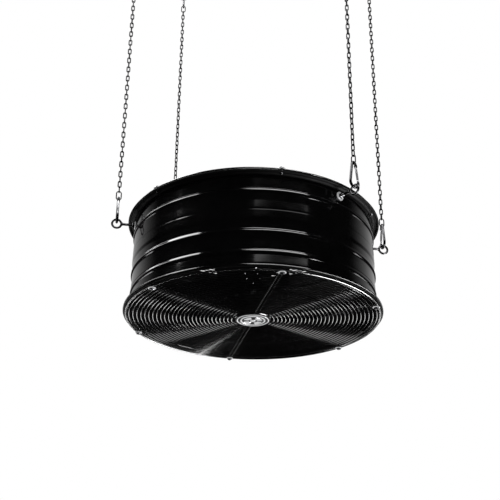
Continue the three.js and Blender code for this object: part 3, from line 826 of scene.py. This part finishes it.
# ---------------------------------------------------------------- motor
def motor():
    h0, h1 = MOTOR_LOW, MOTOR_HIGH
    # ribbed shell
    prof = [(MOTOR_R - 3, h0), (MOTOR_R - 0.4, h0), (MOTOR_R, h0 + 0.6), (MOTOR_R, h0 + 7), (MOTOR_R - 1.6, h0 + 8)]
    h = h0 + 12
    while h < h1 - 12:
        prof += [(MOTOR_R - 1.6, h), (MOTOR_R - 0.2, h + 0.5), (MOTOR_R - 0.2, h + 2.0), (MOTOR_R - 1.6, h + 2.5)]
        h += 5.0
    prof += [(MOTOR_R - 1.6, h1 - 8), (MOTOR_R, h1 - 7), (MOTOR_R, h1 - 0.6), (MOTOR_R - 0.4, h1), (MOTOR_R - 3, h1)]
    make("motor_body", [moved(lathe(prof, 96), DRUM)], ENAMEL, "drum", "motor_shell")
    low = [(9.5, h0 - 12), (24, h0 - 12), (26, h0 - 11.4), (33, h0 - 9.2), (46, h0 - 7.4), (60, h0 - 5.6), (MOTOR_R - 6, h0 - 4.2),
           (MOTOR_R - 1, h0 - 3.4), (MOTOR_R, h0 - 2.6), (MOTOR_R, h0 - GAP), (MOTOR_R - 3.4, h0 - GAP), (MOTOR_R - 3.4, h0 + 6),
           (MOTOR_R - 7, h0 + 6), (MOTOR_R - 10, h0 + 1), (26, h0 - 5), (25, h0 + 4), (20.4, h0 + 4), (20.4, h0 - 9), (9.5, h0 - 9)]
    parts = [lathe(low, 96)]
    for k in range(8):                        # stiffening ribs on the bell
        rib = slab(30, 64, -1.6, 1.6, h0 - 9.8, h0 - 5.4, 0.5)
        parts.append(moved(rib, turn(45 * k + 22.5)))
    for k in range(4):                        # through bolt heads
        parts.append(moved(prism(hexagon(7), h0 - 8.4, h0 - 3.2, 0.0, 0.6), turn(90 * k + 45) @ shift(MOTOR_R - 6.6, 0, 0)))
    make("bell_low", [moved(p, DRUM) for p in parts], ENAMEL, "drum", "motor_lower_bell")
    high = [(0, h1 + 10), (20.4, h1 + 10), (20.4, h1 - 4), (25, h1 - 4), (26, h1 + 5), (MOTOR_R - 10, h1 - 1), (MOTOR_R - 7, h1 - 6),
            (MOTOR_R - 3.4, h1 - 6), (MOTOR_R - 3.4, h1 + GAP), (MOTOR_R, h1 + GAP), (MOTOR_R, h1 + 2.6), (MOTOR_R - 1, h1 + 3.4),
            (MOTOR_R - 6, h1 + 4.4), (56, h1 + 7.2), (40, h1 + 10.4), (26, h1 + 12.6), (23, h1 + 13), (0, h1 + 13)]
    parts = [lathe(high, 96, closed=False)]
    for k in range(4):
        parts.append(moved(prism(hexagon(7), h1 + 2.0, h1 + 7.4, 0.6), turn(90 * k + 45) @ shift(MOTOR_R - 6.6, 0, 0)))
    make("bell_high", [moved(p, DRUM) for p in parts], ENAMEL, "drum", "motor_upper_bell")


motor()


def motor_bars():
    for s, name, node in ((-1, "bar_left", "motor_bar_left"), (1, "bar_right", "motor_bar_right")):
        y = math.sqrt((WALL_R - SHEET - 0.6) ** 2 - (BAR_X + 14) ** 2) - 0.5
        web = slab(s * BAR_X - 14, s * BAR_X + 14, -y, y, BAR_H, BAR_H + 3, 0.6)
        rib = slab(s * BAR_X + s * 11 - 1.5, s * BAR_X + s * 11 + 1.5, -y, y, BAR_H + 1, BAR_H + 22, 0.6)
        parts = [web, rib]
        for e in (-1, 1):
            lo, hi = sorted((e * y, e * (y - 3)))
            parts.append(slab(s * BAR_X - 14, s * BAR_X + 14, lo, hi, BAR_H - 14, BAR_H + 1, 0.6))
            bolt = prism(hexagon(8), 0, 4, 0.6)
            parts.append((*moved(bolt, shift(s * BAR_X, e * (y - 3.2), BAR_H - 7) @ turn(e * 90, "X")), 1))
        for e in (-1, 1):                      # bolts of the lugs
            bolt = prism(hexagon(8), 0, 4, 0.6)
            parts.append((*moved(bolt, shift(s * (BAR_X - 5), e * 22, BAR_H - 0.2) @ turn(180, "X")), 1))
            parts.append((*moved(bolt, shift(s * (BAR_X - 5), e * 22, BAR_H + 3.1)), 1))
        # lug that reaches the motor shell, its edge following the shell
        lug, n = [], 16
        hw = 30
        for i in range(n + 1):
            v = -hw + 2 * hw * i / n
            lug.append((s * (math.sqrt((MOTOR_R + GAP) ** 2 - v * v)), v))
        faces = []
        far = [(s * (BAR_X - 10), v) for u, v in lug]
        verts = [(u, v, BAR_H + 0.05) for u, v in lug] + [(u, v, BAR_H + 0.05) for u, v in far] \
            + [(u, v, BAR_H + 2.95) for u, v in lug] + [(u, v, BAR_H + 2.95) for u, v in far]
        N = n + 1
        for i in range(n):
            a, b = i, i + 1
            faces += [[a, b, N + b, N + a], [2 * N + a, 3 * N + a, 3 * N + b, 2 * N + b], [a, 2 * N + a, 2 * N + b, b],
                      [N + a, N + b, 3 * N + b, 3 * N + a]]
        faces += [[0, N, 3 * N, 2 * N], [n, 2 * N + n, 3 * N + n, N + n]]
        parts.append((verts, faces))
        # the bolts get the dark zinc, painted shade inside the drum
        out = [(*moved(p[:2], DRUM), p[2] if len(p) > 2 else 0) for p in parts]
        make(name, out, [BLACK, ZINC_PAINTED_SHADE], "drum", node)


motor_bars()


def box_and_gland():
    y0, y1, z0, z1 = MOTOR_R + 1, MOTOR_R + 37, MOTOR_LOW + 14, MOTOR_LOW + 66
    base = moved(slab(-32, 32, -(z1 - z0) / 2, (z1 - z0) / 2, 0, y1 - y0 - 6, 0.8, 5),
                 shift(0, y0, (z0 + z1) / 2) @ turn(-90, "X"))
    lid = moved(slab(-31.6, 31.6, -(z1 - z0) / 2 + 0.4, (z1 - z0) / 2 - 0.4, y1 - y0 - 5.6, y1 - y0, 1.2, 5),
                shift(0, y0, (z0 + z1) / 2) @ turn(-90, "X"))
    parts = [(*base, 0), (*lid, 0)]
    for u in (-26, 26):
        for v in (-20, 20):
            screw = lathe([(0, 0), (3.2, 0), (3.2, 0.8), (2.2, 1.5), (0.6, 1.6), (0.5, 1.1), (0, 1.1)], 18, closed=False)
            parts.append((*moved(screw, shift(u, y1 - 0.9, (z0 + z1) / 2 + v) @ turn(-90, "X")), 1))
    # the box screws use the near-white zinc with its painted highlight
    make("connection_box", [(*moved(p[:2], DRUM), p[2]) for p in parts], [PLASTIC, ZINC_AND_PAINTED_HIGHLIGHT], "drum", "terminal_box")
    body = prism(hexagon(15.5), 0.4, 3.4, 0.4)
    dome = lathe([(0, 3.0), (6.9, 3.2), (7.0, 8.6), (6.4, 10.2), (5.4, 13.6), (4.4, 14.6), (3.6, 14.6), (3.6, 6), (0, 6)], 32, closed=False)
    parts = [body, dome]
    for k in range(12):
        parts.append(moved(slab(6.7, 7.5, -0.5, 0.5, 3.8, 8.8, 0.2), turn(30 * k)))
    make("gland", [moved(p, DRUM @ shift(0, MOTOR_R + 37, MOTOR_LOW + 44) @ turn(-90, "X")) for p in parts], PLASTIC, "drum",
         "cable_gland")


box_and_gland()


# ---------------------------------------------------------------- propeller
def blade_mid(u, v):
    """Mid surface of a blade, u from root to tip, v from leading to trailing edge."""
    r = 46 + (BLADE_TIP - 46) * u
    lead, trail = -(58 + 34 * math.sin(u * 1.9)), 48 + 40 * u
    c0 = lead + (trail - lead) * v
    pitch = rad(BLADE_PITCH + 3 - 6 * u)
    camber = -10 * (1 - (2 * v - 1) ** 2) * min(1, max(0, (u - 0.3) / 0.3))
    rr = min(r, math.sqrt(max(BLADE_TIP ** 2 - (c0 * math.cos(pitch)) ** 2, 1)))
    y = c0 * math.cos(pitch) - camber * math.sin(pitch)
    z = c0 * math.sin(pitch) + camber * math.cos(pitch)
    return Vector((rr, y, z - 0.2 - 1.2))


def blade_normal(u, v):
    e = 1e-3
    a = blade_mid(min(u + e, 1), v) - blade_mid(max(u - e, 0), v)
    b = blade_mid(u, min(v + e, 1)) - blade_mid(u, max(v - e, 0))
    n = a.cross(b)
    return n.normalized() if n.length > 1e-9 else Vector((0, 0, 1))


def blade(k, a):
    us = [0, 0.002, 0.006] + [0.02 + 0.96 * i / 34 for i in range(35)] + [0.993, 0.998, 1.0]
    vs = [0, 0.004, 0.012] + [0.03 + 0.94 * i / 18 for i in range(19)] + [0.988, 0.996, 1.0]

    def thin(t, n):
        return [0.15, 0.62, 0.93][t] if t < 3 else ([0.15, 0.62, 0.93][n - 1 - t] if n - 1 - t < 3 else 1.0)
    top, low = [], []
    for i, u in enumerate(us):
        for j, v in enumerate(vs):
            p, n = blade_mid(u, v), blade_normal(min(u, 0.9), v)
            w = 1.2 * min(thin(i, len(us)), thin(j, len(vs)))
            top.append(tuple(p + n * w))
            low.append(tuple(p - n * w))
    N, M = len(us), len(vs)
    q = N * M

    def at(i, j):
        return i * M + j
    faces = []
    for i in range(N - 1):
        for j in range(M - 1):
            f = [at(i, j), at(i + 1, j), at(i + 1, j + 1), at(i, j + 1)]
            faces += [f, [q + x for x in reversed(f)]]
    for i in range(N - 1):
        for j in (0, M - 1):
            faces.append([at(i, j), at(i + 1, j), q + at(i + 1, j), q + at(i, j)])
    for j in range(M - 1):
        for i in (0, N - 1):
            faces.append([at(i, j), at(i, j + 1), q + at(i, j + 1), q + at(i, j)])
    place = DRUM @ turn(a + 25) @ shift(0, 0, BLADE_H - 1.4)
    make(f"blade_{k}", [moved((top + low, faces), place)], BLADE, "fan", f"fan_blade_{k}", sharp=60)


for k, a in enumerate((0, 120, 240)):
    blade(k + 1, a)


def hub():
    parts = [lathe([(SHAFT_R + 0.3, 78), (17.6, 78), (19, 79.4), (19, 90), (24, 91.5), (27, 94), (27, 100), (24, 101.5), (19, 103),
                    (19, 116.8), (17.8, 118), (SHAFT_R + 0.3, 118)], 64)]
    pitch = rad(BLADE_PITCH)
    for a in (0, 120, 240):
        # arm: a plate that narrows to the hub, riveted to the blade
        out = [(16, -15), (44, -19), (60, -25), (112, -25.5), (117.5, -21), (117.5, 21), (112, 25.5), (60, 25), (44, 19), (16, 15)]
        arm = prism(out, 0.4, 3.3, 0.5, 0.5)
        m = turn(a + 25) @ shift(0, 0, BLADE_H) @ turn(BLADE_PITCH, "X")
        parts.append(moved(arm, m))
        for u in (64, 104):
            for v in (-16, 16):
                head = lathe([(0, 5.6), (2.6, 5.1), (4.3, 3.9), (4.6, 3.2), (0, 3.2)], 20, closed=False)
                parts.append((*moved(head, m @ shift(u, v, 0)), 1))
                # the closed head under the blade
                uu = (u - 46) / (BLADE_TIP - 46)
                lead, trail = -(58 + 34 * math.sin(uu * 1.9)), 48 + 40 * uu
                vv = (v - lead) / (trail - lead)
                p, n = blade_mid(uu, vv), blade_normal(uu, vv)
                if n.z > 0:
                    n = -n
                low = lathe([(0, 3.2), (2.6, 2.7), (4.5, 1.6), (4.9, 0.6), (0, 0.6)], 20, closed=False)
                rot = Vector((0, 0, 1)).rotation_difference(n).to_matrix().to_4x4()
                base = turn(a + 25) @ shift(*(p + Vector((0, 0, BLADE_H - 1.4)))) @ rot
                parts.append((*moved(low, base @ shift(0, 0, 0.4)), 1))
    for k in range(3):
        head = prism(hexagon(8), 0, 4.2, 0.6)
        parts.append((*moved(head, turn(85 + 120 * k) @ shift(18.9, 0, 110) @ turn(90, "Y")), 1))
        cap = prism(hexagon(8), 0, 4.0, 0.6)
        parts.append((*moved(cap, turn(25 + 120 * k) @ shift(22.6, 0, 92) @ turn(180, "X")), 1))
    # the rivet and bolt heads get the dark zinc, painted shade inside the drum
    out = [(*moved(p[:2], DRUM), p[2] if len(p) > 2 else 0) for p in parts]
    make("hub", out, [BLADE, ZINC_PAINTED_SHADE], "fan", "fan_hub")


hub()


# ---------------------------------------------------------------- CAD nodes that stay
for name, mat in {"stator": WINDING, "rotor_core": WINDING, "lower_bearing": STEEL, "upper_bearing": STEEL, "motor_shaft": STEEL}.items():
    ob = nodes[name]
    ob.data.materials.clear()
    ob.data.materials.append(mat)


# ---------------------------------------------------------------- floor, lights, surroundings
def floor():
    v, f = [], []
    R, n, z = 90.0, 96, -3.55
    for i in range(n):
        a = 2 * math.pi * i / n
        v.append((R * math.cos(a), R * math.sin(a), z))
    me = bpy.data.meshes.new("floor")
    me.from_pydata(v, [], [list(range(n))])
    m = Mat("floor_pale")
    m.link(m.ramp(m.noise(0.6, 3), [(0.3, (0.80, 0.80, 0.80)), (0.7, (0.83, 0.83, 0.83))]), "Base Color")
    m.link(m.span(m.noise(3, 3), 0.8, 0.95), "Roughness")
    m.set(Specular_IOR_Level=0.1)
    me.materials.append(m.m)
    ob = bpy.data.objects.new("floor", me)
    collection.objects.link(ob)
    ob.visible_glossy = False


floor()


def surroundings():
    """White for the camera and for soft light; reflections see a darker room that is bright behind the drum."""
    w = bpy.data.worlds.new("studio")
    scene.world = w
    w.use_nodes = True
    t = w.node_tree
    t.nodes.clear()
    N = t.nodes.new
    out = N("ShaderNodeOutputWorld")
    lp, tc, sep = N("ShaderNodeLightPath"), N("ShaderNodeTexCoord"), N("ShaderNodeSeparateXYZ")
    t.links.new(tc.outputs["Generated"], sep.inputs[0])

    def math_node(op, a, b=None, c=None):
        n = N("ShaderNodeMath")
        n.operation = op
        for i, v in enumerate((a, b, c)):
            if v is None:
                continue
            if isinstance(v, (int, float)):
                n.inputs[i].default_value = v
            else:
                t.links.new(v, n.inputs[i])
        return n.outputs[0]

    def smooth(v, a, b):
        n = N("ShaderNodeMapRange")
        n.interpolation_type = "SMOOTHSTEP"
        t.links.new(v, n.inputs[0])
        n.inputs["From Min"].default_value, n.inputs["From Max"].default_value = a, b
        return n.outputs[0]
    x, y, z = sep.outputs
    back = smooth(y, 0.15, 0.75)
    high = smooth(z, 0.75, 0.3)
    glow = math_node("MULTIPLY", back, high)
    glow = math_node("MULTIPLY", glow, 0.6)
    low = math_node("ADD", 0.06, math_node("MULTIPLY", smooth(z, 0.27, 0.38), 0.94))
    glow = math_node("MULTIPLY", glow, low)
    glow = math_node("ADD", glow, 0.004)
    seen = N("ShaderNodeBackground")
    seen.inputs[0].default_value = (1, 1, 1, 1)
    seen.inputs[1].default_value = 1.0
    mirrored = N("ShaderNodeBackground")
    mirrored.inputs[0].default_value = (1, 1, 1, 1)
    t.links.new(glow, mirrored.inputs[1])
    mix = N("ShaderNodeMixShader")
    t.links.new(lp.outputs["Is Glossy Ray"], mix.inputs[0])
    t.links.new(seen.outputs[0], mix.inputs[1])
    t.links.new(mirrored.outputs[0], mix.inputs[2])
    t.links.new(mix.outputs[0], out.inputs[0])


surroundings()

CENTRE = Vector((0, 0, -1.22))


def flagged(name, *pieces):
    """A set of pieces that a light is kept off, as a flag beside a lamp does."""
    c = bpy.data.collections.new(name)
    for q in pieces:
        c.objects.link(bpy.data.objects[q])
    for q in c.collection_objects:
        q.light_linking.link_state = "EXCLUDE"
    return c


FLAG = flagged("flagged", "lower_guard_wire")


def softbox(name, az, el, dist, width, height, radiance, diffuse=False, spin=0.0, flag=False):
    """Area light aimed at the drum. az is counted from -Y towards +X."""
    a, e = rad(az), rad(el)
    way = Vector((math.sin(a) * math.cos(e), -math.cos(a) * math.cos(e), math.sin(e)))
    data = bpy.data.lights.new(name, "AREA")
    data.shape, data.size, data.size_y = "RECTANGLE", width, height
    data.energy = radiance * math.pi * width * height
    ob = bpy.data.objects.new(name, data)
    collection.objects.link(ob)
    ob.location = CENTRE + way * dist
    ob.rotation_mode = "QUATERNION"
    ob.rotation_quaternion = way.to_track_quat("Z", "Y") @ Quaternion((0, 0, 1), rad(spin))
    ob.visible_diffuse = diffuse
    if flag:
        ob.light_linking.receiver_collection = FLAG
    return ob


softbox("strip_right", 25, 52, 2.8, 2.15, 1.05, 9.5, flag=True)
softbox("fill_right", 25, 36.5, 2.9, 2.2, 0.5, 1.5)
softbox("strip_left", -86, 51, 2.8, 2.34, 1.0, 8.5, spin=-35, flag=True)
softbox("rim_right", 147, -14, 3.0, 2.6, 0.5, 3.6)
softbox("rim_left", -147, -14, 3.0, 2.6, 0.5, 3.6)
softbox("side_right", 110, -12, 3.0, 1.4, 0.5, 3.6)
softbox("side_left", -110, -12, 3.0, 1.4, 0.5, 4.2)
softbox("back_left", -172.5, -6, 3.0, 1.0, 0.35, 4.5)
softbox("wrap_left", -106, 38, 2.9, 2.2, 0.4, 5.0)
softbox("low_right", 92, -42, 2.8, 3.8, 1.0, 26.0)
